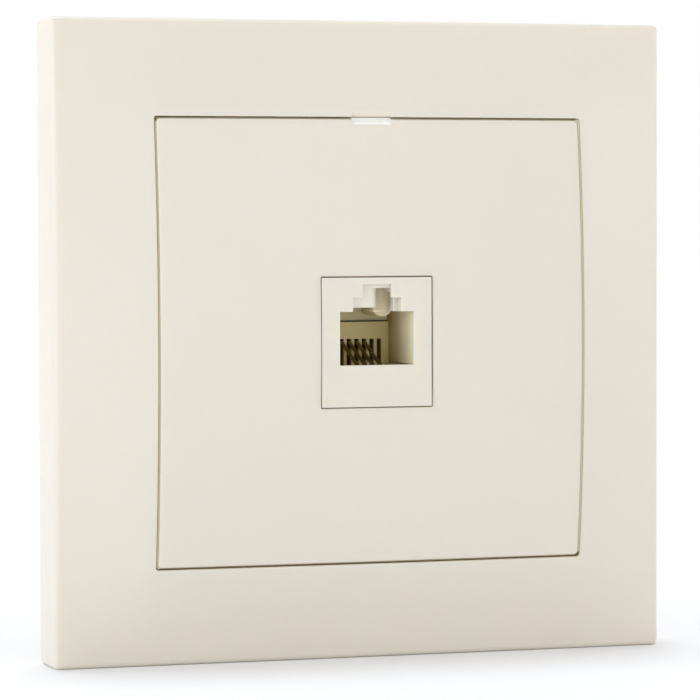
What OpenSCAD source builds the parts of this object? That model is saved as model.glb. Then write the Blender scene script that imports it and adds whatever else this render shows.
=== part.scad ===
// Flush telephone outlet with its cover: a square surround frame round a domed centre plate,
// a keystone jack with a six-position socket, and the steel support plate and spreading claws
// that hold it in a round wall box.
// X runs to the right, Y into the wall and Z up. The wall's surface is the plane Y = 0, and the
// origin is the middle of the support plate's back, between the wall box's screws.

/* [Surround frame] */
// Width and height of the surround frame
frame_w = 81.2; // [80:0.2:82]
// Height of the frame's side wall above the wall's surface
frame_edge = 7.8; // [7.2:0.1:7.9]
// Thickness of the frame's moulded wall
frame_wall = 1.8; // [1.5:0.1:2]
// Shape of the frame's slope: 1 is flat, and more is rounder
slope_power = 1.2; // [1:0.05:1.6]

/* [Centre plate] */
// Width and height of the centre plate
plate_w = 56; // [55.5:0.1:56]
// Height of the plate's face at its middle above the wall's surface
crown = 13.2; // [13.1:0.1:13.4]
// Fall of the face from its middle to its left and right edges
fall_x = 0.5; // [0.4:0.1:1.2]
// Fall of the face from its middle to its top and bottom edges
fall_z = 1.7; // [1.5:0.1:2]
// Thickness of the plate's moulded wall
plate_wall = 2; // [1.6:0.1:2.2]
// Gap between the plate and the frame round it
seam = 0.25; // [0.2:0.05:0.3]

/* [Support plate] */
// Width and height of the steel plate
steel_w = 71; // [70:0.5:72]
// Thickness of the steel plate
steel_t = 1.2; // [1:0.1:1.2]
// Distance between the wall box's two screws
box_pitch = 60; // [59.8:0.1:60.2]
// Length of each slot for a box screw
box_slot = 7; // [6:0.5:7]
// Width of each slot for a box screw
box_slot_w = 3.8; // [3.6:0.1:4]

/* [Claws] */
// Distance of each claw's hinge from the middle
claw_x = 15; // [15:0.1:15.2]
// Distance of each claw's screw from the middle
screw_x = 22.5; // [22.4:0.1:22.6]
// Depth of the claw's hinge behind the wall's surface
claw_y = 7; // [7:0.1:7.2]
// Thickness of the claw's steel strip
claw_t = 1.5; // [1.4:0.1:1.5]
// Diameter of the claw screw
screw_d = 3; // [2.9:0.1:3]

/* [Jack] */
// Width of the jack's face
face_w = 14.5; // [14.4:0.1:14.5]
// Height of the jack's face
face_h = 16.3; // [16.2:0.1:16.4]
// Width of the plug's socket
port_w = 9.82; // [9.8:0.01:9.9]
// Height of the plug's socket
port_h = 6.75; // [6.7:0.05:6.8]
// Distance between neighbouring contacts
contact_pitch = 1.02; // [1:0.01:1.04]
// Diameter of a contact wire
wire_d = 0.46; // [0.4:0.02:0.48]

/* [Hidden] */
$fn = 48;
eps = 0.01; // how far a cut runs past the face that it opens

ivory = [0.91, 0.88, 0.81];
white_plastic = [0.90, 0.90, 0.87];
zinc = [0.72, 0.73, 0.74];
gold = [0.85, 0.68, 0.30];
tin = [0.78, 0.78, 0.76];
board_green = [0.10, 0.35, 0.18];

// Frame and plate, as half sizes and heights above the wall's surface
frame_r = frame_w / 2;
plate_r = plate_w / 2;
open_r = plate_r + seam;
steps_side = 14; // facets along each side of the square rings
slope_steps = 6; // facets across the frame's slope
ledge_top = 7; // the frame's inner ledge, which the plate stands on
ledge_low = 5.6;
ledge_in = 1.8;
lip_t = 1.6;
relief_half = 8; // half width of the lip's gap over each box screw
plate_low = ledge_top + 0.05;
skirt_t = 1.5;
collar_t = 1.2;
collar_low = 9.2;
notch_w = 5.4; // sloping notch across the seam's top middle for a screwdriver's blade
notch_h = 0.7;
notch_depth = 0.5;

// Plate's snap legs and the holder's windows for them
leg_x = 21.5;
leg_z = 15;
leg_t = 1.6;
leg_w = 6;
leg_low = 2.6;
barb = 0.6;

// Keystone holder, as heights above the wall's surface
holder_r = 25;
web_low = 3.4;
web_top = 4.9;
holder_wall = 1.5;
rivet_x = 17;
rivet_z = 20.5;
rivet_d = 2.5;
boss_d = 5;
clear = 0.1; // usual gap between moulded parts

// Claw strip
claw_half = 6; // half width of the strip
eye_r = 2.3;
eye_half = 6.8;
pin_r = 1;
ear_t = 1.2;
ear_half = 2.5;
ear_z = eye_half + 0.2;
claw_out = 27.8; // distance of the strip's outer face from the middle
claw_end = 20;
tooth_out = 1.1;
tooth_len = 2.6;
nut_w = 5.5;
nut_t = 2.4;
nut_y = claw_y + claw_t / 2 + clear;
screw_end = 18;
head_d = 6;
head_t = 2;
head_back = -steel_t - 0.05;

// Jack, with depth measured back from its face
face_mid = -0.1; // height of the face's middle
face_top = face_mid + face_h / 2;
face_low = face_mid - face_h / 2;
port_low = -3;
port_top = port_low + port_h;
port_end = 10.8;
body_end = 19;

// Notch above the socket: a shallow stepped rim, and the room behind it for the plug's latch
latch_w = 6.37; // wide step of the rim
latch_top = 5.5;
lever_w = 3.85; // narrow step of the rim
rim_top = 7.17;
rim_depth = 0.6;
lever_top = 6.7; // the narrow step is lower behind the rim
room_top = 6.2; // top of the wide room behind the rim
sill_top = 4.25; // top of the way in on the left, under the sill
sill_t = 0.8;
notch_end = 7.5;
post_r = 1.5; // rounding of the post that closes the narrow step's left part
post_x = -1.05;
guide_r = 1.35; // rounded guide that hangs beside the latch
guide_x = 1.75;
guide_z = 4.4;
guide_start = 3.2;
side_x = 2.6; // right limit of the room behind side_start
side_start = 1.4;

// Chamber under the socket, and the features that hold the jack in its holder
chamber_w = 13;
chamber_low = -6.6;
chamber_top = port_low + eps;
chamber_start = 1.3;
flange_out = 1.45;
flange_half = 5;
finger_half = 3;
finger_low = face_top + 0.5;
finger_t = 1;
hook_top = finger_low + finger_t + 0.6;

// Contact comb
comb_face = 10;
comb_end = 12.4;
comb_top = 2.2;
comb_slots = 8;
comb_slot_w = 0.62;
comb_slot_end = 11.6;
comb_base = -4.85;
trough_half = 4.15;

// Contact wires: the pin through the board, the bend, and the slope up to the comb, as [depth, height]
wire_x = [-1.5, -0.5, 0.5, 1.5] * contact_pitch;
wire_path = [
    [1.9, -6.2], [1.9, -4.3], [2.02, -3.8], [2.4, -3.42], [3.1, -3.12],
    [4.6, -2.62], [6.4, -1.92], [8.2, -1.14], [9.6, -0.5], [10.7, -0.27]
];
wire_sides = 8;
pin_hole_r = 0.42;

// Circuit board and insulation-displacement block
board_w = 12.4;
board_low = -5.95;
board_top = -4.95;
board_start = 1.5;
board_end = 31;
block_start = 19.2;
block_end = 30.8;
block_half = 7.2;
block_low = board_top + 0.05;
block_top = 6.5;
channel_half = 1.6;
channel_low = -1;
blade_x = 4.4;
blade_d = [22.3, 27.7];
blade_w = 3.4;
blade_t = 0.45;
blade_top = 5.2;
blade_pin_w = 0.8;
blade_pin_low = -6.7;
slit_w = 0.3;
slit_len = 5;
cap_t = 1.4;

// ---- shapes shared by several pieces ----

// Box given by its limits on each axis
module block(x, y, z) {
    translate([x[0], y[0], z[0]]) cube([x[1] - x[0], y[1] - y[0], z[1] - z[0]]);
}

// Cylinder along Y, from y0 to y1
module rod_y(x, z, r, y0, y1) {
    translate([x, y0, z]) rotate([-90, 0, 0]) cylinder(r = r, h = y1 - y0);
}

// Flat sheet parallel to the wall, from a drawing in X and Z
module sheet(y0, y1) {
    translate([0, y1, 0]) rotate([90, 0, 0]) linear_extrude(y1 - y0) children();
}

// Rectangle centred on a point, with rounded corners
module round_rect(w, h, r) {
    square([w - 2 * r, h], center = true);
    square([w, h - 2 * r], center = true);
    for (sx = [-1, 1])
        for (sz = [-1, 1])
            translate([sx * (w / 2 - r), sz * (h / 2 - r)]) circle(r);
}

// Straight slot with round ends, along X
module slot_x(length, w) {
    square([length - w, w], center = true);
    for (s = [-1, 1]) translate([s * (length - w) / 2, 0]) circle(w / 2);
}

// Closed ring from sections: each section is a closed loop of points, and the last joins the first
module ring_solid(sections) {
    n = len(sections);
    m = len(sections[0]);
    faces = [
        for (i = [0 : n - 1])
            for (j = [0 : m - 1])
                let (i2 = (i + 1) % n, j2 = (j + 1) % m)
                    each [
                        [i * m + j, i2 * m + j2, i2 * m + j],
                        [i * m + j, i * m + j2, i2 * m + j2]
                    ]
    ];
    polyhedron(points = [for (s = sections) each s], faces = faces);
}

// Round tube along a path in the plane of Y and Z, at a place x
module tube(x, path, r, sides) {
    n = len(path);
    points = [
        for (i = [0 : n - 1])
            let (
                back = path[max(i - 1, 0)],
                next = path[min(i + 1, n - 1)],
                along = (next - back) / norm(next - back),
                side = [-along[1], along[0]]
            )
                for (k = [0 : sides - 1])
                    let (a = 360 * k / sides)
                        [x + r * cos(a), path[i][0] + r * sin(a) * side[0],
                         path[i][1] + r * sin(a) * side[1]]
    ];
    walls = [
        for (i = [0 : n - 2])
            for (k = [0 : sides - 1])
                let (k2 = (k + 1) % sides)
                    each [
                        [i * sides + k, i * sides + k2, (i + 1) * sides + k2],
                        [i * sides + k, (i + 1) * sides + k2, (i + 1) * sides + k]
                    ]
    ];
    ends = [
        [for (k = [sides - 1 : -1 : 0]) k],
        [for (k = [0 : sides - 1]) (n - 1) * sides + k]
    ];
    polyhedron(points = points, faces = concat(walls, ends));
}

// Point on the square from -1 to 1, a share s of the way round
function on_square(s) =
    let (k = floor(4 * s), t = 2 * (4 * s - k) - 1)
        k == 0 ? [1, t] : k == 1 ? [-t, 1] : k == 2 ? [-1, -t] : [t, -1];

// Height of the plate's domed face above the wall's surface
function dome(p) =
    crown - fall_x * pow(p[0] / plate_r, 2) - fall_z * pow(p[1] / plate_r, 2);

// How much of the dome is left, from 1 at the opening to 0 at the frame's outer edge
function fade(t) = 1 - pow(max(0, (abs(t) - open_r) / (frame_r - open_r)), slope_power);

// Height of the frame's sloping face above the wall's surface
function slope(p) = frame_edge + (dome(p) - frame_edge) * fade(p[0]) * fade(p[1]);

// ---- cover ----

// Section of the frame in one direction from its middle
function frame_section(u) =
    let (
        on = function (r, h) [u[0] * r, -h, u[1] * r],
        face = function (r, drop) on(r, slope(u * r) - drop),
        over_screw = min(abs(u[0]), abs(u[1])) * open_r < relief_half,
        lip_low = over_screw ? ledge_low - 0.4 : steel_t + 0.2,
        inner = frame_r - frame_wall
    )
        concat(
            [on(frame_r, 0), on(frame_r, frame_edge - 0.8), on(frame_r - 0.2, frame_edge - 0.2)],
            [for (k = [1 : slope_steps])
                face(frame_r - 0.7 - (frame_r - 0.7 - open_r - 0.3) * (k - 1) / (slope_steps - 1), 0)],
            [face(open_r, 0.3), on(open_r, ledge_top), on(open_r - ledge_in, ledge_top),
             on(open_r - ledge_in, ledge_low), on(open_r, ledge_low), on(open_r, lip_low),
             on(open_r + lip_t, lip_low), face(open_r + lip_t, frame_wall),
             face((open_r + frame_r) / 2, frame_wall), on(inner, frame_edge - 1), on(inner, 0)]
        );

// sloping cut beside the seam's middle, from its edge outwards; dir is the way that it rises along Z
module pry_cut(z, dir) {
    translate([-notch_w / 2, -dome([0, z]), z])
        rotate([90, 0, 90]) linear_extrude(notch_w)
            polygon([[-1, dir * notch_h], [0, dir * notch_h], [notch_depth, 0], [notch_depth, -dir], [-1, -dir]]);
}

module surround_frame() {
    color(ivory)
        difference() {
            ring_solid([for (i = [0 : 4 * steps_side - 1]) frame_section(on_square(i / (4 * steps_side)))]);
            pry_cut(open_r, 1);
        }
}

// Section of the plate: v runs from 0 at the jack's window to 1 at the plate's edge
function plate_section(u) =
    let (
        gap = 0.15,
        half = [face_w / 2 + gap, face_h / 2 + gap],
        at = function (v) [u[0] * (half[0] + (plate_r - half[0]) * v),
                           face_mid * (1 - v) + u[1] * (half[1] + (plate_r - half[1]) * v)],
        on = function (v, h) [at(v)[0], -h, at(v)[1]],
        face = function (v, drop) on(v, dome(at(v)) - drop),
        v_skirt = 1 - skirt_t / (plate_r - half[0]),
        v_collar = collar_t / (plate_r - half[0])
    )
        concat(
            [on(1, plate_low), face(1, 0.35), face(0.99, 0.05)],
            [for (v = [0.8, 0.6, 0.4, 0.2, 0.01]) face(v, 0)],
            [face(0, 0.12), on(0, collar_low), on(v_collar, collar_low)],
            [for (v = [v_collar, 0.4, 0.7, v_skirt]) face(v, plate_wall)],
            [on(v_skirt, plate_low)]
        );

module snap_leg() {
    top = dome([leg_x, leg_z]) - plate_wall + 0.3;
    block([leg_x - leg_t / 2, leg_x + leg_t / 2], [-top, -leg_low], [leg_z - leg_w / 2, leg_z + leg_w / 2]);
    translate([leg_x + leg_t / 2, 0, leg_z - leg_w / 2])
        linear_extrude(leg_w)
            polygon([[-eps, -web_low + clear], [barb, -web_low + clear], [-eps, -leg_low]]);
}

module centre_plate() {
    color(ivory)
        difference() {
            union() {
                ring_solid([for (i = [0 : 4 * steps_side - 1])
                    plate_section(on_square(i / (4 * steps_side)))]);
                for (sx = [0, 1])
                    for (sz = [0, 1])
                        mirror([sx, 0, 0]) mirror([0, 0, sz]) snap_leg();
            }
            pry_cut(plate_r, -1);
        }
}

// ---- support ----

module ear() {
    difference() {
        union() {
            block([claw_x - ear_half, claw_x + ear_half], [-eps, claw_y], [ear_z, ear_z + ear_t]);
            translate([claw_x, claw_y, ear_z]) cylinder(r = ear_half, h = ear_t);
        }
        translate([claw_x, claw_y, ear_z - 1]) cylinder(r = pin_r + 0.02, h = ear_t + 2);
    }
}

module steel_outline() {
    ear_window_h = 9;
    difference() {
        round_rect(steel_w, steel_w, 5);
        round_rect(20, 26, 1.5);
        for (a = [0, 90]) for (s = [-1, 1])
            rotate(a) translate([s * box_pitch / 2, 0]) slot_x(box_slot, box_slot_w);
        for (s = [-1, 1]) translate([s * screw_x, 0]) circle(screw_d / 2 + 0.08);
        for (sx = [-1, 1]) for (sz = [-1, 1]) {
            translate([sx * rivet_x, sz * rivet_z]) circle(rivet_d / 2 + 0.05);
            translate([sx * claw_x, sz * (ear_z + ear_t + ear_window_h / 2)])
                square([2 * ear_half, ear_window_h], center = true);
        }
    }
}

module support_plate() {
    rim_h = 1.6;
    rim_half = 22;
    color(zinc) {
        sheet(-steel_t, 0) steel_outline();
        for (s = [0, 1]) mirror([s, 0, 0])
            block([steel_w / 2 - steel_t, steel_w / 2], [-steel_t - rim_h, -steel_t + eps],
                  [-rim_half, rim_half]);
        for (sx = [0, 1]) for (sz = [0, 1]) mirror([sx, 0, 0]) mirror([0, 0, sz]) ear();
    }
}

module keystone_holder() {
    window_clear = 0.15;
    access_r = 4;
    color(white_plastic)
        difference() {
            union() {
                sheet(-web_top, -web_low) round_rect(2 * holder_r, 2 * holder_r, 2.5);
                sheet(-web_low - eps, -steel_t)
                    difference() {
                        round_rect(2 * holder_r, 2 * holder_r, 2.5);
                        round_rect(2 * (holder_r - holder_wall), 2 * (holder_r - holder_wall), 1.2);
                    }
                for (sx = [-1, 1]) for (sz = [-1, 1])
                    rod_y(sx * rivet_x, sz * rivet_z, boss_d / 2, -web_low - eps, -steel_t);
            }
            block([-face_w / 2 - window_clear, face_w / 2 + window_clear], [-web_top - 1, 0],
                  [face_low - window_clear, face_top + window_clear]);
            block([-finger_half - 0.25, finger_half + 0.25], [-web_top - 1, 0], [0, hook_top + 0.2]);
            for (sx = [-1, 1]) {
                rod_y(sx * screw_x, 0, access_r, -web_top - 1, 0);
                for (sz = [-1, 1]) {
                    rod_y(sx * rivet_x, sz * rivet_z, rivet_d / 2 + 0.05, -web_top - 1, 0);
                    translate([sx * (leg_x + barb / 2), 0, sz * leg_z])
                        block([-leg_t / 2 - barb / 2 - 0.2, leg_t / 2 + barb / 2 + 0.2],
                              [-web_top - 1, -web_low + 1], [-leg_w / 2 - 0.3, leg_w / 2 + 0.3]);
                }
            }
        }
}

module holder_rivets() {
    head_r = 2.2;
    head_h = 0.8;
    color(zinc)
        for (sx = [-1, 1]) for (sz = [-1, 1]) {
            rod_y(sx * rivet_x, sz * rivet_z, rivet_d / 2, -web_top - eps, eps);
            rod_y(sx * rivet_x, sz * rivet_z, head_r, -web_top - head_h, -web_top);
            rod_y(sx * rivet_x, sz * rivet_z, head_r, 0, head_h);
        }
}

// ---- claws, drawn on the right ----

module claw() {
    leg_front = claw_y - claw_t / 2;
    leg_back = claw_y + claw_t / 2;
    color(zinc)
        difference() {
            union() {
                translate([0, 0, -claw_half])
                    linear_extrude(2 * claw_half)
                        polygon([
                            [claw_x, leg_front], [claw_out - 1, leg_front], [claw_out, leg_front + 1],
                            [claw_out, claw_end - tooth_len], [claw_out + tooth_out, claw_end],
                            [claw_out - 0.3, claw_end], [claw_out - claw_t, claw_end - tooth_len],
                            [claw_out - claw_t, leg_back], [claw_x, leg_back]
                        ]);
                translate([claw_x, claw_y, -eye_half]) cylinder(r = eye_r, h = 2 * eye_half);
            }
            translate([claw_x, claw_y, -eye_half - 1]) cylinder(r = pin_r + 0.06, h = 2 * eye_half + 2);
            translate([(screw_x - 2.6 + claw_out - claw_t - 0.3) / 2, claw_y + 2, 0])
                rotate([90, 0, 0]) linear_extrude(4)
                    slot_x(claw_out - claw_t - 0.3 - (screw_x - 2.6), screw_d + 0.5);
            for (s = [-1, 1])
                translate([claw_out - 4, claw_end + eps, s * claw_half / 3])
                    rotate([0, 90, 0]) linear_extrude(8)
                        polygon([[-1.4, 0], [0, -tooth_len], [1.4, 0]]);
        }
}

module claw_pin() {
    end_z = ear_z + ear_t;
    color(zinc) {
        translate([claw_x, claw_y, -end_z - eps]) cylinder(r = pin_r, h = 2 * end_z + 2 * eps);
        for (z = [-end_z - 0.6, end_z]) translate([claw_x, claw_y, z]) cylinder(r = 1.7, h = 0.6);
    }
}

module claw_screw() {
    recess_r = 1.7;
    blade = 0.7;
    color(tin)
        difference() {
            union() {
                rod_y(screw_x, 0, screw_d / 2, head_back - eps, screw_end);
                rod_y(screw_x, 0, head_d / 2, head_back - head_t, head_back);
            }
            for (a = [0, 90])
                translate([screw_x, head_back - head_t, 0]) rotate([0, a, 0])
                    block([-recess_r, recess_r], [-1, 1.2], [-blade / 2, blade / 2]);
        }
}

module claw_nut() {
    color(tin)
        difference() {
            block([screw_x - nut_w / 2, screw_x + nut_w / 2], [nut_y, nut_y + nut_t],
                  [-nut_w / 2, nut_w / 2]);
            rod_y(screw_x, 0, screw_d / 2 + 0.05, nut_y - 1, nut_y + nut_t + 1);
        }
}

// ---- jack, drawn with its face at Y = 0 and moved into place by in_jack ----

module in_jack() {
    translate([0, -crown, 0]) children();
}

// Room for the plug and its latch
module port_room() {
    half = port_w / 2;
    difference() {
        block([-half, half], [-1, port_end], [port_low - eps, port_top]);
        rod_y(guide_x, guide_z, guide_r, guide_start, notch_end + 1);
    }
    block([-half, half], [1, comb_end + eps], [port_low - eps, comb_top + 0.15]);
    block([-latch_w / 2, latch_w / 2], [-1, rim_depth], [port_top - 1, latch_top]);
    block([-lever_w / 2, lever_w / 2], [-1, rim_depth], [port_top - 1, rim_top]);
    difference() {
        union() {
            block([-latch_w / 2, side_x], [-1, notch_end], [port_top - 0.2, sill_top]);
            block([-latch_w / 2, post_x], [rim_depth + sill_t, notch_end], [port_top - 0.2, room_top]);
            block([post_x, latch_w / 2], [rim_depth - eps, side_start], [port_top - 0.2, room_top]);
            block([post_x, side_x], [rim_depth - eps, notch_end], [port_top - 0.2, room_top]);
            block([post_x, lever_w / 2], [rim_depth - eps, notch_end], [port_top - 0.2, lever_top]);
        }
        block([-lever_w / 2, post_x + eps], [rim_depth, rim_depth + 2 * post_r], [sill_top, lever_top + 1]);
        translate([post_x, rim_depth + post_r, sill_top]) cylinder(r = post_r, h = 4);
        rod_y(guide_x, guide_z, guide_r, guide_start, notch_end + 1);
        block([guide_x - guide_r, guide_x + guide_r], [guide_start, notch_end + 1],
              [guide_z, lever_top + 1]);
    }
}

module jack_housing() {
    web_front = crown - web_top;
    web_back = crown - web_low;
    half = face_w / 2;
    color(ivory)
        in_jack() difference() {
            union() {
                block([-half, half], [0, body_end], [face_low, face_top]);
                block([-flange_half, flange_half], [web_back + clear, web_back + 2],
                      [face_low - flange_out, face_low + 1]);
                for (s = [0, 1]) mirror([s, 0, 0])
                    block([finger_half + 0.6, flange_half + 0.4], [web_back + clear, web_back + 2],
                          [face_top - 1, face_top + flange_out]);
                block([-finger_half, finger_half], [web_front - 1.6, body_end],
                      [finger_low, finger_low + finger_t]);
                block([-finger_half, finger_half], [body_end - 2.4, body_end],
                      [face_top - 1, finger_low + eps]);
                translate([-finger_half, 0, finger_low + finger_t])
                    rotate([90, 0, 90]) linear_extrude(2 * finger_half)
                        polygon([[web_front - 1.6, -eps], [web_front - clear, -eps],
                                 [web_front - clear, hook_top - finger_low - finger_t]]);
            }
            port_room();
            block([-chamber_w / 2, chamber_w / 2], [chamber_start, body_end + 1],
                  [chamber_low, chamber_top]);
            block([-6, 6], [comb_end, body_end + 1], [chamber_top - 1, latch_top]);
        }
}

module contact_comb() {
    rail_half = chamber_w / 2 - clear;
    low = [comb_base, -4.3];
    color(ivory)
        in_jack() difference() {
            union() {
                block([-rail_half, rail_half], [1.4, comb_end], low);
                for (s = [0, 1]) mirror([s, 0, 0])
                    block([trough_half, rail_half], [1.4, comb_end], [comb_base, port_low - 0.1]);
                block([-port_w / 2 + 0.05, port_w / 2 - 0.05], [comb_face, comb_end], [comb_base, comb_top]);
            }
            for (k = [0 : comb_slots - 1])
                translate([(k - (comb_slots - 1) / 2) * contact_pitch, 0, 0])
                    block([-comb_slot_w / 2, comb_slot_w / 2], [comb_face - 1, comb_slot_end], [-4, 0]);
            for (x = wire_x) translate([x, wire_path[0][0], comb_base - 1]) cylinder(r = pin_hole_r, h = 3);
        }
}

module contact_wire(k) {
    color(gold) in_jack() tube(wire_x[k], wire_path, wire_d / 2, wire_sides);
}

module blade_spots() {
    for (sx = [-1, 1]) for (d = blade_d) translate([sx * blade_x, d, 0]) rotate([0, 0, sx * 45]) children();
}

module circuit_board() {
    color(board_green)
        in_jack() difference() {
            block([-board_w / 2, board_w / 2], [board_start, board_end], [board_low, board_top]);
            for (x = wire_x) translate([x, wire_path[0][0], board_low - 1]) cylinder(r = pin_hole_r, h = 3);
            blade_spots() translate([0, 0, board_low - 1]) cylinder(r = blade_pin_w / 2 + 0.1, h = 3);
        }
}

module idc_block() {
    wire_slot = 0.7;
    color(white_plastic)
        in_jack() difference() {
            block([-block_half, block_half], [block_start, block_end], [block_low, block_top]);
            block([-channel_half, channel_half], [block_start - 1, block_end + 1],
                  [channel_low, block_top + 1]);
            for (d = blade_d)
                block([-block_half - 1, block_half + 1], [d - wire_slot / 2, d + wire_slot / 2],
                      [0.5, block_top + 1]);
            blade_spots()
                block([-blade_w / 2 - 0.1, blade_w / 2 + 0.1], [-blade_t / 2 - 0.08, blade_t / 2 + 0.08],
                      [block_low - 1, block_top + 1]);
        }
}

module idc_blade(k) {
    sx = k < 2 ? -1 : 1;
    color(tin)
        in_jack() translate([sx * blade_x, blade_d[k % 2], 0]) rotate([0, 0, sx * 45]) difference() {
            union() {
                block([-blade_w / 2, blade_w / 2], [-blade_t / 2, blade_t / 2],
                      [board_top + 0.1, blade_top]);
                block([-blade_pin_w / 2, blade_pin_w / 2], [-blade_t / 2, blade_t / 2],
                      [blade_pin_low, board_top + 0.2]);
            }
            block([-slit_w / 2, slit_w / 2], [-1, 1], [blade_top - slit_len, blade_top + 1]);
            translate([0, 0, blade_top]) rotate([0, 45, 0]) cube([0.9, 2, 0.9], center = true);
        }
}

module idc_cap() {
    low = block_top + 0.05;
    fin = 0.5;
    color(white_plastic)
        in_jack() {
            block([-block_half, block_half], [block_start, block_end], [low, low + cap_t]);
            block([-channel_half + 0.15, channel_half - 0.15], [block_start + 0.4, block_end - 0.4],
                  [block_top - 3, low + eps]);
            for (d = blade_d) for (s = [0, 1]) mirror([s, 0, 0])
                block([channel_half, block_half - 0.5], [d - fin / 2, d + fin / 2],
                      [block_top - 0.9, low + eps]);
        }
}

surround_frame();
centre_plate();
support_plate();
keystone_holder();
holder_rivets();
mirror([1, 0, 0]) claw();  // claw_left
claw();  // claw_right
mirror([1, 0, 0]) claw_pin();  // claw_pin_left
claw_pin();  // claw_pin_right
mirror([1, 0, 0]) claw_screw();  // claw_screw_left
claw_screw();  // claw_screw_right
mirror([1, 0, 0]) claw_nut();  // claw_nut_left
claw_nut();  // claw_nut_right
jack_housing();
contact_comb();
circuit_board();
idc_block();
idc_cap();
for (k = [0 : 3]) {
    contact_wire(k);
    idc_blade(k);
}
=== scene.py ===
from math import ceil, cos, pi, radians, sin

import bmesh
import bpy
from mathutils import Matrix, Vector


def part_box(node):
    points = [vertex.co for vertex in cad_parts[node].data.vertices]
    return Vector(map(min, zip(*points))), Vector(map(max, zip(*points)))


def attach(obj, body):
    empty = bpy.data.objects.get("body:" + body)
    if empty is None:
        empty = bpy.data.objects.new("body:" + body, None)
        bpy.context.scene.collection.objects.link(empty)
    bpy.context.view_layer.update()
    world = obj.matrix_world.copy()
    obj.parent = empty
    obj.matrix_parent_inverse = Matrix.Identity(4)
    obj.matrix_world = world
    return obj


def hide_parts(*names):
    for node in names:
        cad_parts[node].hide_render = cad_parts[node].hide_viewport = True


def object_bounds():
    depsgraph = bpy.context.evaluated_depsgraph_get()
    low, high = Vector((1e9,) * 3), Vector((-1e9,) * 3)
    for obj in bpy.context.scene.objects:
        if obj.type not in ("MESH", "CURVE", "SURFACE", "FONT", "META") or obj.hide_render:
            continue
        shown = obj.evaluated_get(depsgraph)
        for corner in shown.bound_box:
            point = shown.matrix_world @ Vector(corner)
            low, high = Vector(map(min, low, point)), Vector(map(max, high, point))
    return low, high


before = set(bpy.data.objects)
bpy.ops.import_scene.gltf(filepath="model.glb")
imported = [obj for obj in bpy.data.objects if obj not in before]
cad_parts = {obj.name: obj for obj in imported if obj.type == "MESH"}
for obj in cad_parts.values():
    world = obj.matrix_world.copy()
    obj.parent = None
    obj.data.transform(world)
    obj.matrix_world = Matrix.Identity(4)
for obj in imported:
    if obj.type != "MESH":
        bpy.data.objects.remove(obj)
cad_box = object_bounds()

MM = 0.001


def box_mm(node):
    """Lowest and highest corner of a CAD node, in millimetres."""
    low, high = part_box(node)
    return low / MM, high / MM


FRAME_R = box_mm("surround_frame")[1].x
PLATE_R = box_mm("centre_plate")[1].x
FACE_Y = box_mm("jack_housing")[0].y
CROWN = -FACE_Y

# The cover's face, as the CAD draws it
EDGE_HEIGHT = 7.8
SLOPE_POWER = 1.2
FALL_X = 0.5
FALL_Z = 1.7
SEAM = 0.25
OPEN_R = PLATE_R + SEAM
FACE_HALF = (7.25, 8.15)
FACE_MID = -0.1
NOTCH_W = 5.4
NOTCH_H = 0.7
NOTCH_DEPTH = 0.5

# Corner radius at the seam, and steps in the rounding of an edge beside it
SEAM_CORNER = 0.3
RIM_STEPS = 5

# Sides of a square, in the order in which places go round it
RIGHT, TOP, LEFT, BOTTOM = range(4)

# ---- mesh helpers ----


def piece(name, verts, faces, body, materials, replaces=(), slot=None, sharp=40, shades=None):
    """Object from points in millimetres, smooth but for edges over the angle, riding on a body.
    With several materials, shades gives each face's one."""
    mesh = bpy.data.meshes.new(name)
    mesh.from_pydata([Vector(v) * MM for v in verts], [], faces)
    if shades:
        mesh.polygons.foreach_set("material_index", shades)
    bm = bmesh.new()
    bm.from_mesh(mesh)
    bmesh.ops.remove_doubles(bm, verts=bm.verts, dist=0.001 * MM)
    bmesh.ops.recalc_face_normals(bm, faces=bm.faces)
    return from_bmesh(name, bm, body, materials, replaces, sharp, mesh)


def from_bmesh(name, bm, body, materials, replaces=(), sharp=40, mesh=None):
    """Object from a bmesh in metres, which it frees."""
    mesh = mesh or bpy.data.meshes.new(name)
    for material in materials if isinstance(materials, tuple) else (materials,):
        mesh.materials.append(material)
    bm.to_mesh(mesh)
    bm.free()
    mesh.shade_smooth()
    mesh.set_sharp_from_angle(angle=radians(sharp))
    obj = bpy.data.objects.new(name, mesh)
    bpy.context.collection.objects.link(obj)
    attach(obj, body)
    if replaces:
        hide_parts(*replaces)
    return obj


def refined(cad_node, body, materials, radius, prepare=None):
    """Copy of a CAD node's mesh, with its flat faces joined and its sharp edges rounded."""
    sharp = 35
    bm = bmesh.new()
    bm.from_mesh(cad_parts[cad_node].data)
    bmesh.ops.remove_doubles(bm, verts=bm.verts, dist=0.001 * MM)
    if prepare:
        prepare(bm)
    bmesh.ops.dissolve_limit(bm, angle_limit=radians(0.5), verts=bm.verts, edges=bm.edges,
                             delimit={"MATERIAL"})
    obj = from_bmesh(cad_node + "_shape", bm, body, materials, (cad_node,), sharp)
    rounding = obj.modifiers.new("edges", "BEVEL")
    rounding.width = radius * MM
    rounding.segments = 3
    rounding.limit_method = "ANGLE"
    rounding.angle_limit = radians(sharp)
    rounding.use_clamp_overlap = True
    rounding.harden_normals = True
    return obj


def ring_faces(sections):
    """Faces of a closed ring of closed sections."""
    n, m = len(sections), len(sections[0])
    return [
        (i * m + j, ((i + 1) % n) * m + j, ((i + 1) % n) * m + (j + 1) % m, i * m + (j + 1) % m)
        for i in range(n)
        for j in range(m)
    ]


def ring_piece(name, sections, body, materials, shade, **kw):
    """Ring from its sections; shade gives a face's material from its section and its band."""
    points = [p for section in sections for p in section]
    faces = ring_faces(sections)
    shades = [shade(*divmod(k, len(sections[0]))) for k in range(len(faces))]
    return piece(name, points, faces, body, materials, shades=shades, **kw)


def turns_round(sides):
    """Angles of points spaced evenly round a circle."""
    return [2 * pi * k / sides for k in range(sides)]


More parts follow.
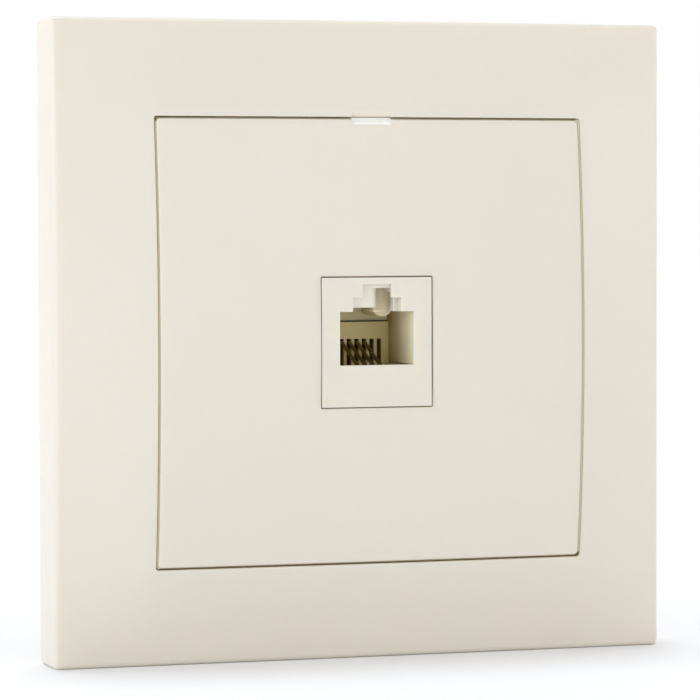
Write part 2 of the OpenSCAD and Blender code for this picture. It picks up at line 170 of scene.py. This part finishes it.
def tube_faces(rings, sides):
    """Faces between rings of points, and a cap on each end."""
    faces = []
    for i in range(rings - 1):
        here, there = i * sides, (i + 1) * sides
        for k in range(sides):
            after = (k + 1) % sides
            faces.append((here + k, here + after, there + after, there + k))
    last = (rings - 1) * sides
    return faces + [tuple(range(sides - 1, -1, -1)), tuple(last + k for k in range(sides))]


def tube_mesh(points, radius, sides):
    """Round tube with domed ends along points in one plane of constant X."""
    dome_turns = (pi / 8, pi / 4, 0.45 * pi)
    rings = []
    path = [(p, radius) for p in points]
    for end, step in ((points[0], -1), (points[-1], 1)):
        along = (points[1] - points[0] if step < 0 else points[-1] - points[-2]).normalized()
        caps = [(end + along * radius * sin(a) * step, radius * cos(a)) for a in dome_turns]
        path = caps[::-1] + path if step < 0 else path + caps
    centres = [p for p, _ in path]
    for i, (centre, r) in enumerate(path):
        along = (centres[min(i + 1, len(path) - 1)] - centres[max(i - 1, 0)]).normalized()
        side = Vector((1, 0, 0)).cross(along)
        rings.append([
            centre + Vector((r * cos(a), 0, 0)) + side * r * sin(a) for a in turns_round(sides)
        ])
    return [p for ring in rings for p in ring], tube_faces(len(rings), sides)


def lathe(profile, origin, axis, sides=32):
    """Solid of revolution from (radius, height) pairs, standing on origin along axis."""
    turn = Vector((0, 0, 1)).rotation_difference(Vector(axis)).to_matrix()
    verts = [
        Vector(origin) + turn @ Vector((r * cos(a), r * sin(a), h))
        for r, h in profile
        for a in turns_round(sides)
    ]
    return verts, tube_faces(len(profile), sides)


def joined(parts):
    """Several (verts, faces) as one."""
    verts, faces = [], []
    for v, f in parts:
        start = len(verts)
        verts += list(v)
        faces += [tuple(start + i for i in face) for face in f]
    return verts, faces


def smooth_path(points, steps):
    """Catmull-Rom curve through points."""
    ends = [2 * points[0] - points[1], *points, 2 * points[-1] - points[-2]]
    curve = []
    for p0, p1, p2, p3 in zip(ends, ends[1:], ends[2:], ends[3:]):
        for s in (k / steps for k in range(steps)):
            curve.append(
                0.5 * (2 * p1 + (p2 - p0) * s + (2 * p0 - 5 * p1 + 4 * p2 - p3) * s * s
                       + (3 * p1 - p0 - 3 * p2 + p3) * s ** 3)
            )
    return curve + [points[-1]]


# ---- material helpers ----


def node(tree, kind, inputs=None, **settings):
    """New shader node, with its settings and the fixed values of its inputs."""
    made = tree.nodes.new(kind)
    for key, value in settings.items():
        setattr(made, key, value)
    for key, value in (inputs or {}).items():
        made.inputs[key].default_value = value
    return made


def noise(tree, coords, scale, detail):
    """Noise with features of 1 / scale metres."""
    made = node(tree, "ShaderNodeTexNoise", {"Scale": scale, "Detail": detail, "Roughness": 0.55})
    tree.links.new(coords, made.inputs["Vector"])
    return made.outputs["Fac"]


def remap(tree, value, low, high, to_low, to_high):
    """Value carried from one range to another, and held at its ends."""
    made = node(tree, "ShaderNodeMapRange",
                {"From Min": low, "From Max": high, "To Min": to_low, "To Max": to_high})
    tree.links.new(value, made.inputs["Value"])
    return made.outputs["Result"]


def mix(tree, factor, a, b):
    """Mix of two colours, each a colour or a socket."""
    made = node(tree, "ShaderNodeMix", data_type="RGBA")
    tree.links.new(factor, made.inputs[0])
    for index, value in ((6, a), (7, b)):
        if isinstance(value, bpy.types.NodeSocket):
            tree.links.new(value, made.inputs[index])
        else:
            made.inputs[index].default_value = (*value, 1)
    return made.outputs[2]


def bump(tree, height, strength, distance, normal=None):
    """Normal tilted by a height map of some millimetres, over another normal if one is given."""
    made = node(tree, "ShaderNodeBump", {"Strength": strength, "Distance": distance * MM})
    tree.links.new(height, made.inputs["Height"])
    if normal is not None:
        tree.links.new(normal, made.inputs["Normal"])
    return made.outputs["Normal"]


def new_material(name):
    """Material with its tree, its shader and the object's coordinates in metres."""
    material = bpy.data.materials.new(name)
    material.use_nodes = True
    tree = material.node_tree
    shader = tree.nodes["Principled BSDF"]
    coords = tree.nodes.new("ShaderNodeTexCoord").outputs["Object"]
    return material, tree, shader, coords


def moulded(name, colour, shade, roughness=0.34, grain=0.10, through=0.3, deep_shade=None, depth=(0, 10)):
    """Injection-moulded plastic: fine eroded grain, faint flow marks and slightly uneven gloss.
    With a shade colour given, the colour turns to it between two depths behind the jack's face, as
    painted shade."""
    material, tree, shader, coords = new_material(name)
    flow = remap(tree, noise(tree, coords, 45, 2), 0.35, 0.65, 0, 0.55)
    speck = remap(tree, noise(tree, coords, 1800, 2), 0.42, 0.75, 0, 0.35)
    base = mix(tree, speck, mix(tree, flow, colour, shade), shade)
    if deep_shade:
        split = node(tree, "ShaderNodeSeparateXYZ")
        tree.links.new(coords, split.inputs[0])
        start, end = ((FACE_Y + d) * MM for d in depth)
        inside = remap(tree, split.outputs["Y"], start, end, 0, 1)
        base = mix(tree, inside, base, deep_shade)
    tree.links.new(base, shader.inputs["Base Color"])
    gloss = remap(tree, noise(tree, coords, 380, 4), 0.3, 0.7, roughness - 0.04, roughness + 0.05)
    tree.links.new(gloss, shader.inputs["Roughness"])
    coarse = bump(tree, noise(tree, coords, 900, 2), grain, 0.02)
    fine = bump(tree, noise(tree, coords, 5200, 2), grain, 0.01, coarse)
    tree.links.new(fine, shader.inputs["Normal"])
    shader.inputs["Subsurface Weight"].default_value = through
    shader.inputs["Subsurface Radius"].default_value = (1.0, 0.75, 0.4)
    shader.inputs["Subsurface Scale"].default_value = 1.5 * MM
    shader.inputs["IOR"].default_value = 1.5
    return material


def metal(name, colour, shade, roughness, scale, spangle=0.0):
    """Metal with uneven gloss and tone; spangle adds the crystal pattern of hot-dip zinc."""
    material, tree, shader, coords = new_material(name)
    shader.inputs["Metallic"].default_value = 1.0
    tone = remap(tree, noise(tree, coords, scale, 4), 0.3, 0.7, 0, 1)
    base = mix(tree, tone, colour, shade)
    gloss = remap(tree, noise(tree, coords, scale * 3, 3), 0.3, 0.7,
                  roughness - 0.07, roughness + 0.1)
    height = noise(tree, coords, scale * 5, 3)
    if spangle:
        cells = node(tree, "ShaderNodeTexVoronoi", {"Scale": 260.0, "Randomness": 1.0})
        tree.links.new(coords, cells.inputs["Vector"])
        grey = node(tree, "ShaderNodeRGBToBW")
        tree.links.new(cells.outputs["Color"], grey.inputs[0])
        base = mix(tree, remap(tree, grey.outputs[0], 0.1, 0.9, 0, spangle), base, shade)
    tree.links.new(base, shader.inputs["Base Color"])
    tree.links.new(gloss, shader.inputs["Roughness"])
    tree.links.new(bump(tree, height, 0.25, 0.01), shader.inputs["Normal"])
    return material


def board_mask(name):
    """Green solder mask with tracks standing under it."""
    material, tree, shader, coords = new_material(name)
    black, white = (0, 0, 0, 1), (1, 1, 1, 1)
    tracks = node(tree, "ShaderNodeTexBrick", {
        "Scale": 1.0, "Mortar Size": 0.16 * MM, "Brick Width": 3.1 * MM, "Row Height": 1.27 * MM,
        "Color1": black, "Color2": black, "Mortar": white,
    })
    tree.links.new(coords, tracks.inputs["Vector"])
    tone = remap(tree, noise(tree, coords, 700, 3), 0.3, 0.7, 0, 0.4)
    base = mix(tree, tone, (0.020, 0.150, 0.055), (0.012, 0.100, 0.040))
    base = mix(tree, tracks.outputs["Color"], base, (0.055, 0.250, 0.090))
    tree.links.new(base, shader.inputs["Base Color"])
    tree.links.new(bump(tree, tracks.outputs["Color"], 0.5, 0.03), shader.inputs["Normal"])
    gloss = remap(tree, noise(tree, coords, 300, 2), 0.3, 0.7, 0.22, 0.34)
    tree.links.new(gloss, shader.inputs["Roughness"])
    return material


def pale_floor(name):
    """Plain pale floor with the faintest unevenness, glowing with distance like a lit backdrop."""
    material, tree, shader, coords = new_material(name)
    tone = remap(tree, noise(tree, coords, 8, 2), 0.3, 0.7, 0, 1)
    base = mix(tree, tone, (0.92, 0.92, 0.93), (0.91, 0.91, 0.92))
    tree.links.new(base, shader.inputs["Base Color"])
    shader.inputs["Roughness"].default_value = 0.7
    shader.inputs["Specular IOR Level"].default_value = 0.2
    shader.inputs["Emission Color"].default_value = (1, 1, 1, 1)
    away = node(tree, "ShaderNodeVectorMath", operation="LENGTH")
    tree.links.new(coords, away.inputs[0])
    glow = remap(tree, away.outputs["Value"], 0.02, 1.1, 0.02, 0.40)
    tree.links.new(glow, shader.inputs["Emission Strength"])
    return material


# The tints in the seams, the notches and the socket are painted light and shade. The seams' brown,
# the latch notch's dark guide and the socket's darkening with depth are painted shade; the pry
# notch's pale face is a painted highlight; the socket's warm yellow is painted light caught between
# the walls and shining through thin plastic.
IVORY = moulded("ivory_cover", (0.755, 0.703, 0.610), (0.740, 0.687, 0.590))
# Brown in the seams, darker than the ivory: painted shade where the walls close in
SEAM_SHADE = moulded("ivory_painted_seam_shade", (0.64, 0.55, 0.36), (0.60, 0.51, 0.32), 0.4)
# Paler than the ivory for the pry notch's slope: a painted highlight
NOTCH_HIGHLIGHT = moulded("ivory_painted_notch_highlight", (0.95, 0.93, 0.87), (0.93, 0.91, 0.84), 0.25)
INSERT = moulded("ivory_insert", (0.765, 0.716, 0.622), (0.750, 0.700, 0.602), 0.32, 0.08, 0.5)
# Warmer and lighter than the ivory as painted light inside the socket, turning dark with depth as
# painted shade
SOCKET_LIGHT_AND_SHADE = moulded("ivory_painted_socket_light_and_shade", (0.90, 0.83, 0.62), (0.88, 0.81, 0.60), 0.36, 0.08, 0.5,
                 deep_shade=(0.50, 0.38, 0.12), depth=(5.0, 10.0))
# Darker than the ivory for the guide in the latch notch: painted shade
GUIDE_SHADE = moulded("ivory_painted_latch_notch_shade", (0.63, 0.55, 0.37), (0.61, 0.53, 0.35), 0.36, 0.08, 0.5)
# Bright warm yellow for the socket's back wall: painted light
BACK_WALL_LIGHT = moulded("ivory_painted_back_wall_light", (0.94, 0.83, 0.48), (0.92, 0.81, 0.46), 0.36, 0.08, 0.5)
# The comb's amber is its own colour; near black between its slots is painted shade
COMB = moulded("amber_comb_with_painted_slot_shade", (0.80, 0.68, 0.34), (0.76, 0.64, 0.30), 0.36, 0.08, 0.3,
               deep_shade=(0.15, 0.10, 0.02), depth=(10.05, 11))
WHITE = moulded("white_support", (0.80, 0.80, 0.77), (0.77, 0.77, 0.73), 0.45, 0.14)
STEEL = metal("galvanised_steel", (0.60, 0.61, 0.63), (0.47, 0.48, 0.51), 0.36, 90, spangle=0.7)
RIVET = metal("zinc_rivet", (0.66, 0.66, 0.68), (0.54, 0.54, 0.57), 0.30, 300)
ZINC = metal("bright_zinc", (0.74, 0.74, 0.72), (0.60, 0.60, 0.57), 0.24, 350)
# The wires' gold is darkened far below real gold: painted shade from the dark socket round them
GOLD_IN_SHADE = metal("gold_wire_painted_shade", (0.20, 0.15, 0.05), (0.13, 0.09, 0.03), 0.17, 900)
TIN = metal("tinned_blade", (0.76, 0.76, 0.75), (0.62, 0.62, 0.60), 0.28, 500)
SOLDER = metal("solder", (0.70, 0.70, 0.71), (0.56, 0.56, 0.58), 0.24, 800)
BOARD = board_mask("circuit_board")

# ---- cover ----


def dome(x, z):
    """Height of the plate's face above the wall."""
    return CROWN - FALL_X * (x / PLATE_R) ** 2 - FALL_Z * (z / PLATE_R) ** 2


def fade(t):
    """Share of the plate's height left at a distance from the middle: 1 at the seam, 0 outside."""
    return 1 - (max(0.0, (abs(t) - OPEN_R) / (FRAME_R - OPEN_R))) ** SLOPE_POWER


def slope(x, z):
    """Height of the frame's face above the wall."""
    return EDGE_HEIGHT + (dome(x, z) - EDGE_HEIGHT) * fade(x) * fade(z)


def square_places(per_side, per_corner, breaks=()):
    """Places round a square as (side, share of the side, turn in the corner after it).
    They crowd towards the corners. Breaks are extra shares on the top side, and displace others."""
    clearance = 0.004
    places = []
    for side in (RIGHT, TOP, LEFT, BOTTOM):
        shares = [sin(pi / 2 * (2 * k / per_side - 1)) for k in range(per_side + 1)]
        if side == TOP:
            shares = [t for t in shares if all(abs(t - b) > clearance for b in breaks)]
            shares = sorted([*shares, *breaks])
        places += [(side, t, 0.0) for t in shares]
        places += [(side, 1.0, pi / 2 * k / (per_corner + 1)) for k in range(1, per_corner + 1)]
    return places


def on_square(place, half_x, half_z, corner):
    """Point of a place on a rectangle with rounded corners."""
    side, share, turn = place
    a, b = (half_x, half_z) if side % 2 == 0 else (half_z, half_x)
    x = a - corner + corner * cos(turn)
    z = share * (b - corner) + corner * sin(turn)
    for _ in range(side):
        x, z = -z, x
    return x, z


def edge_round(radius, steps):
    """(inward, down) pairs that round the edge between a side and a face."""
    turns = [pi / 2 * k / steps for k in range(steps + 1)]
    return [(radius * (1 - cos(a)), radius * (1 - sin(a))) for a in turns]


def in_notch(place, half):
    """Whether a place round a square is in the pry notch, in the middle of the top side."""
    side, _, turn = place
    x, _ = on_square(place, half, half, SEAM_CORNER)
    return side == TOP and turn == 0 and abs(x) < NOTCH_W / 2


def notch_breaks(half):
    """Shares of the top side on either side of each end of the pry notch."""
    step = 0.003
    return [s * (NOTCH_W / 2 / half + offset) for s in (-1, 1) for offset in (-step, step)]


def notch_rim():
    """(inward, down) pairs of the pry notch's slope, as many as the rounded edge beside it has."""
    shares = [k / RIM_STEPS for k in range(RIM_STEPS + 1)]
    return [(NOTCH_H * t, NOTCH_DEPTH * (1 - t)) for t in shares]


def frame_section(place):
    """Section of the surround frame at a place round it."""
    wall = 1.8
    ledge_in = 1.8
    ledge_top = 7.0
    ledge_low = 5.6
    lip = 1.6
    relief_half = 8.0
    steel_top = 1.4
    relief = 0.4
    foot = 0.15
    outer_round = 0.75
    open_corner = 0.35
    inner_corner = 0.5
    face_steps = 14

    def point(r, height, corner):
        x, z = on_square(place, r, r, corner)
        return x, -height, z

    def face(r, drop, corner):
        x, z = on_square(place, r, r, corner)
        return x, -(slope(x, z) - drop), z

    def corner_at(r):
        return open_corner + 0.25 * max(0, r - OPEN_R) / (FRAME_R - OPEN_R)

    rim = notch_rim() if in_notch(place, OPEN_R) else edge_round(0.3, RIM_STEPS)
    section = [point(FRAME_R - foot, 0, inner_corner), point(FRAME_R, foot, corner_at(FRAME_R))]
    section += [face(FRAME_R - d, drop, corner_at(FRAME_R)) for d, drop in edge_round(outer_round, 6)]
    start, end = FRAME_R - outer_round, OPEN_R + rim[-1][0]
    for k in range(1, face_steps):
        r = start + (end - start) * k / face_steps
        section.append(face(r, 0, corner_at(r)))
    section += [face(OPEN_R + d, drop, open_corner) for d, drop in reversed(rim)]
    x, z = on_square(place, OPEN_R, OPEN_R, SEAM_CORNER)
    over_screw = min(abs(x), abs(z)) < relief_half
    low = ledge_low - relief if over_screw else steel_top
    section += [
        point(OPEN_R, ledge_top, open_corner), point(OPEN_R - ledge_in, ledge_top, SEAM_CORNER),
        point(OPEN_R - ledge_in, ledge_low, SEAM_CORNER), point(OPEN_R, ledge_low, open_corner),
        point(OPEN_R, low, open_corner), point(OPEN_R + lip, low, inner_corner),
        face(OPEN_R + lip, wall, inner_corner), face((OPEN_R + FRAME_R) / 2, wall, inner_corner),
        point(FRAME_R - wall, EDGE_HEIGHT - 1, inner_corner), point(FRAME_R - wall, 0, inner_corner),
    ]
    return section


def plate_section(place):
    """Section of the centre plate, from its edge to the jack's window, at a place round it.
    Its lip under the seam and its stop round the window are not in the CAD. Their sizes on each
    side are chosen for how dark the seams look there."""
    gap = 0.15
    shift = 0.07
    skirt = 1.5
    collar = 1.2
    collar_height = 9.2
    low = 7.05
    wall = 2.0
    lip_out = 0.2
    lip_t = 0.5
    lip_drop = {RIGHT: 0.12, TOP: 0.9, LEFT: 0.25, BOTTOM: 0.9}[place[0]]
    stop = 0.11 if place[0] in (TOP, BOTTOM) else 0.02
    stop_drop = 0.4
    face_shares = (0.95, 0.9, 0.82, 0.73, 0.64, 0.55, 0.46, 0.37, 0.28, 0.19, 0.1, 0.04)
    window = (FACE_HALF[0] + gap, FACE_HALF[1] + gap)
    span = PLATE_R - window[0]

    def at(v):
        half_x, half_z = (w + (PLATE_R - w) * v for w in window)
        x, z = on_square(place, half_x, half_z, 0.15 + 0.35 * min(v, 1))
        return x + shift * max(0, 1 - 5 * v), z + FACE_MID * (1 - v)

    def point(v, height):
        x, z = at(v)
        return x, -height, z

    def face(v, drop=0.0):
        x, z = at(v)
        return x, -(dome(x, z) - drop), z

    if in_notch(place, PLATE_R):
        lip_drop = NOTCH_DEPTH + 0.05
        rim = notch_rim()
    else:
        rim = edge_round(0.28, RIM_STEPS)
    section = [point(1, low), face(1, lip_drop + lip_t), face(1 + lip_out / span, lip_drop + lip_t),
               face(1 + lip_out / span, lip_drop), face(1, lip_drop)]
    section += [face(1 - d / span, drop) for d, drop in rim]
    section += [face(v) for v in face_shares]
    section += [face(d / span, drop) for d, drop in reversed(edge_round(0.12, 3))]
    section += [face(0, stop_drop), face(-stop / span, stop_drop + 0.1),
                point(-stop / span, collar_height), point(collar / span, collar_height),
                face(collar / span, wall)]
    section += [face(v, wall) for v in (0.3, 0.5, 0.7)]
    section += [face(1 - skirt / span, wall), point(1 - skirt / span, low)]
    return section


def rounded_prism(outline, low, high, radius):
    """Bmesh of an outline extruded along Z, with rounded edges."""
    bm = bmesh.new()
    rings = [[bm.verts.new(Vector((x, y, z)) * MM) for x, y in outline] for z in (low, high)]
    n = len(outline)
    bm.faces.new(rings[0])
    bm.faces.new(rings[1][::-1])
    for i in range(n):
        bm.faces.new([rings[0][i], rings[1][i], rings[1][(i + 1) % n], rings[0][(i + 1) % n]])
    bmesh.ops.recalc_face_normals(bm, faces=bm.faces)
    bmesh.ops.bevel(bm, geom=bm.edges[:], offset=radius * MM, segments=2, affect="EDGES",
                    profile=0.5)
    return bm


def snap_legs():
    """The centre plate's four snap legs, each with its barb."""
    leg_x, leg_z, leg_t, leg_w, leg_low, barb, web_low = 21.5, 15.0, 1.6, 6.0, 2.6, 0.6, 3.4
    under_face = 1.9
    top = dome(leg_x, leg_z) - under_face
    inner, outer = leg_x - leg_t / 2, leg_x + leg_t / 2
    barb_y = -web_low + 0.1
    outline = [
        (inner, -top), (outer, -top), (outer, barb_y), (outer + barb, barb_y),
        (outer, -leg_low), (inner, -leg_low),
    ]
    whole = bmesh.new()
    mesh = bpy.data.meshes.new("leg")
    for sx in (-1, 1):
        for sz in (-1, 1):
            leg = rounded_prism([(sx * x, y) for x, y in outline],
                                sz * leg_z - leg_w / 2, sz * leg_z + leg_w / 2, 0.12)
            leg.to_mesh(mesh)
            leg.free()
            whole.from_mesh(mesh)
    bpy.data.meshes.remove(mesh)
    bmesh.ops.recalc_face_normals(whole, faces=whole.faces)
    return from_bmesh("plate_snap_legs", whole, "plate", IVORY)


# Bands between a section's points, counted along it, that take painted shade in the seams or the
# painted highlight in the notch
FRAME_SEAM_BANDS = range(26, 30)
PLATE_SEAM_BANDS = (*range(1, 5), *range(26, 30))
PLATE_NOTCH_BANDS = range(2, 10)


def make_cover():
    per_side = 44
    frame_places = square_places(per_side, 4, notch_breaks(OPEN_R))
    plate_places = square_places(per_side, 3, notch_breaks(PLATE_R))
    frame_materials = (IVORY, SEAM_SHADE)
    plate_materials = (IVORY, SEAM_SHADE, NOTCH_HIGHLIGHT)

    def frame_shade(_, band):
        return frame_materials.index(SEAM_SHADE if band in FRAME_SEAM_BANDS else IVORY)

    def plate_shade(i, band):
        # The pry notch's slope takes the painted highlight, the seam bands the painted shade
        if in_notch(plate_places[i], PLATE_R) and band in PLATE_NOTCH_BANDS:
            return plate_materials.index(NOTCH_HIGHLIGHT)
        return plate_materials.index(SEAM_SHADE if band in PLATE_SEAM_BANDS else IVORY)

    ring_piece("frame_moulding", [frame_section(p) for p in frame_places], "frame",
               frame_materials, frame_shade, replaces=("surround_frame",), slot="ivory")
    ring_piece("plate_moulding", [plate_section(p) for p in plate_places], "plate",
               plate_materials, plate_shade, replaces=("centre_plate",), slot="ivory")
    snap_legs()


# ---- jack ----

WIRE_PITCH = 1.02
WIRE_R = 0.23
WIRE_FOOT = 1.9
WIRE_PATH = ((WIRE_FOOT, -6.2), (WIRE_FOOT, -4.3), (2.02, -3.8), (2.4, -3.42), (3.1, -3.12),
             (4.6, -2.62), (6.4, -1.92), (8.2, -1.14), (9.6, -0.5), (10.7, -0.27))
JACK_MATERIALS = (INSERT, SOCKET_LIGHT_AND_SHADE, GUIDE_SHADE, BACK_WALL_LIGHT)


def wire_x(k):
    """Place of the contact wires 1 to 4 across the socket."""
    return (k - 2.5) * WIRE_PITCH


def shade_socket(bm):
    """Gives the walls inside the plug's room and the latch notch's guide their own materials, which
    carry painted light and painted shade.
    """
    room_half = 5
    room_start, room_end = 0.2, 12.6
    room_low, room_top = -3.2, 7.3
    back = 9
    ceiling = 3.75
    guide_low = 3.0
    guide_x = 1.75
    guide_r = 1.4
    guide_start = 2.5
    for face in bm.faces:
        centre = face.calc_center_median() / MM
        depth = centre.y - FACE_Y
        if (abs(centre.x) < room_half and room_start < depth < room_end
                and room_low < centre.z < room_top):
            hanging = guide_low < centre.z < ceiling - 0.01 and abs(centre.x - guide_x) < guide_r
            if depth > back and face.normal.y < -0.9:
                face.material_index = JACK_MATERIALS.index(BACK_WALL_LIGHT)
            elif depth > guide_start and (hanging or centre.z > ceiling + 0.05):
                face.material_index = JACK_MATERIALS.index(GUIDE_SHADE)
            elif centre.z < ceiling + 0.05:
                face.material_index = JACK_MATERIALS.index(SOCKET_LIGHT_AND_SHADE)


def make_solder():
    """Solder cones round the wires' and the blades' pins on the board's underside."""
    blade_x = 4.4
    blade_depths = (22.3, 27.7)
    sides = 24
    down = (0, 0, -1)
    underside = box_mm("circuit_board")[0].z
    profile = [(0.3, 0), (0.6, 0), (0.6, 0.04), (0.52, 0.06), (0.40, 0.18), (0.34, 0.4), (0.3, 0.4)]
    blade_profile = [(r * 1.5, h * 1.4) for r, h in profile]
    parts = [
        lathe(profile, (wire_x(k), FACE_Y + WIRE_FOOT, underside), down, sides) for k in range(1, 5)
    ]
    parts += [
        lathe(blade_profile, (sx * blade_x, FACE_Y + depth, underside), down, sides)
        for sx in (-1, 1) for depth in blade_depths
    ]
    piece("solder_joints", *joined(parts), "jack", SOLDER, slot="tinned_blade", sharp=50)


def make_jack():
    refined("jack_housing", "jack", JACK_MATERIALS, 0.12, shade_socket)
    make_solder()
    refined("contact_comb", "jack", COMB, 0.05)
    refined("circuit_board", "jack", BOARD, 0.05)
    refined("idc_block", "jack", WHITE, 0.15)
    refined("idc_cap", "cap", WHITE, 0.15)
    for k in range(1, 5):
        path = smooth_path([Vector((wire_x(k), FACE_Y + depth, z)) for depth, z in WIRE_PATH], 6)
        piece(f"contact_{k}_wire", *tube_mesh(path, WIRE_R, 16), f"contact_{k}", GOLD_IN_SHADE,
              replaces=(f"contact_wire_{k}",), slot="gold_plated_wire")
        refined(f"idc_blade_{k}", "jack", TIN, 0.05)


# ---- support ----

THREAD_PITCH = 0.5


def thread(x, start, end, crest, root, sides=28):
    """Screw thread along Y, as a tube whose radius follows a helix."""
    per_turn = 8
    flank = 2.6
    steps = ceil((end - start) / THREAD_PITCH * per_turn)
    verts = []
    for i in range(steps + 1):
        y = start + (end - start) * i / steps
        fading = min(1, (end - y) / THREAD_PITCH)
        for k, a in enumerate(turns_round(sides)):
            phase = (y / THREAD_PITCH - k / sides) % 1
            ridge = max(0.0, 1 - abs(phase - 0.5) * flank)
            r = root + (crest - root) * ridge * fading
            verts.append((x + r * cos(a), y, r * sin(a)))
    return verts, tube_faces(steps + 1, sides)


def make_screw(side):
    """Claw screw: the CAD head with its cross recess, and a threaded shank."""
    shank_r = 1.5
    thread_depth = 0.24
    head_t = 2.0
    overlap = 0.05
    low, high = box_mm(f"claw_screw_{side}")
    x = (low.x + high.x) / 2
    shank_start = low.y + head_t

    def cut_shank(bm):
        shank = [f for f in bm.faces if f.calc_center_median().y > (shank_start + 0.01) * MM]
        bmesh.ops.delete(bm, geom=shank, context="FACES")
        bmesh.ops.holes_fill(bm, edges=[e for e in bm.edges if e.is_boundary])

    refined(f"claw_screw_{side}", f"screw_{side}", ZINC, 0.15, cut_shank)
    shank = thread(x, shank_start - overlap, high.y, shank_r, shank_r - thread_depth)
    piece(f"claw_thread_{side}", *shank, f"screw_{side}", ZINC, slot="zinc_plated_steel", sharp=60)


def make_rivets():
    """Four rivets with domed heads in front and formed heads behind."""
    head_r, shank_r, head_h = 2.2, 1.25, 0.8
    low, high = box_mm("holder_rivets")
    at_x, at_z = high.x - head_r, high.z - head_r
    front = [(0.02, 0), (0.9, 0.04), (1.6, 0.2), (2.0, 0.45), (head_r, head_h),
             (shank_r, head_h + 0.01)]
    back = [(r, (high.y - low.y) - h) for r, h in reversed(front)]
    parts = [
        lathe(front + back, (sx * at_x, low.y, sz * at_z), (0, 1, 0))
        for sx in (-1, 1) for sz in (-1, 1)
    ]
    piece("rivets", *joined(parts), "chassis", RIVET, replaces=("holder_rivets",),
          slot="rivet_steel")


def make_support():
    refined("support_plate", "chassis", STEEL, 0.2)
    refined("keystone_holder", "chassis", WHITE, 0.2)
    make_rivets()
    for side in ("left", "right"):
        refined(f"claw_{side}", f"claw_{side}", STEEL, 0.15)
        refined(f"claw_pin_{side}", "chassis", RIVET, 0.15)
        refined(f"claw_nut_{side}", f"nut_{side}", ZINC, 0.25)
        make_screw(side)


# ---- stage ----

# Where the camera stands, in millimetres, and its lens, in millimetres on a 36 mm sensor
CAMERA_AT = (-139.65, -434.73, 15.07)
CAMERA_YAW = radians(17.887)
CAMERA_PITCH = radians(2.083)
CAMERA_ROLL = radians(-0.177)
CAMERA_LENS = 181.36


def make_camera():
    """Camera left of the axis, from its yaw, its downward pitch and its roll."""
    ahead = Vector((sin(CAMERA_YAW), cos(CAMERA_YAW), 0))
    right = Vector((cos(CAMERA_YAW), -sin(CAMERA_YAW), 0))
    up = Vector((0, 0, 1))
    ahead, up = (ahead * cos(CAMERA_PITCH) - up * sin(CAMERA_PITCH),
                 up * cos(CAMERA_PITCH) + ahead * sin(CAMERA_PITCH))
    right, up = (right * cos(CAMERA_ROLL) + up * sin(CAMERA_ROLL),
                 up * cos(CAMERA_ROLL) - right * sin(CAMERA_ROLL))
    data = bpy.data.cameras.new("camera")
    data.lens = CAMERA_LENS
    data.sensor_width = 36
    data.clip_start = 0.01
    camera = bpy.data.objects.new("camera", data)
    axes = Matrix((right, up, -ahead)).transposed().to_4x4()
    camera.matrix_world = Matrix.Translation(Vector(CAMERA_AT) * MM) @ axes
    bpy.context.collection.objects.link(camera)
    bpy.context.scene.camera = camera


def area_light(name, place, size, power, colour=(1, 1, 1)):
    """Square soft light that faces the outlet."""
    data = bpy.data.lights.new(name, "AREA")
    data.size = size
    data.energy = power
    data.color = colour
    light = bpy.data.objects.new(name, data)
    light.location = place
    light.rotation_euler = (-Vector(place)).to_track_quat("-Z", "Y").to_euler()
    bpy.context.collection.objects.link(light)


def make_floor():
    """Floor under the cover's lower edge, three metres to each side."""
    bm = bmesh.new()
    bmesh.ops.create_grid(bm, x_segments=8, y_segments=8, size=3.0)
    mesh = bpy.data.meshes.new("floor")
    bm.to_mesh(mesh)
    bm.free()
    mesh.materials.append(pale_floor("floor"))
    floor = bpy.data.objects.new("floor", mesh)
    floor.location.z = cad_box[0].z
    bpy.context.collection.objects.link(floor)


def make_world():
    """White surroundings, half as bright in front of the outlet as behind it."""
    world = bpy.data.worlds.new("studio")
    bpy.context.scene.world = world
    world.use_nodes = True
    tree = world.node_tree
    surroundings = tree.nodes["Background"]
    surroundings.inputs["Color"].default_value = (1, 1, 1, 1)
    towards = node(tree, "ShaderNodeSeparateXYZ")
    tree.links.new(tree.nodes.new("ShaderNodeTexCoord").outputs["Generated"], towards.inputs[0])
    strength = remap(tree, towards.outputs["Y"], 0.0, 0.6, 0.5, 1.0)
    tree.links.new(strength, surroundings.inputs["Strength"])


def make_stage():
    cool = (0.94, 1.0, 1.09)
    make_camera()
    make_floor()
    make_world()
    area_light("left", (-1.0, -0.3, 0.3), 0.6, 4.7, cool)
    area_light("right", (0.9, -0.5, 0.3), 0.6, 2.2)
    area_light("front", (0.1, -1.1, 0.15), 0.8, 1.9)
    area_light("top", (0, 0.12, 1.0), 0.3, 3.2, cool)
    bpy.context.scene.view_settings.view_transform = "Standard"


make_stage()
make_cover()
make_jack()
make_support()
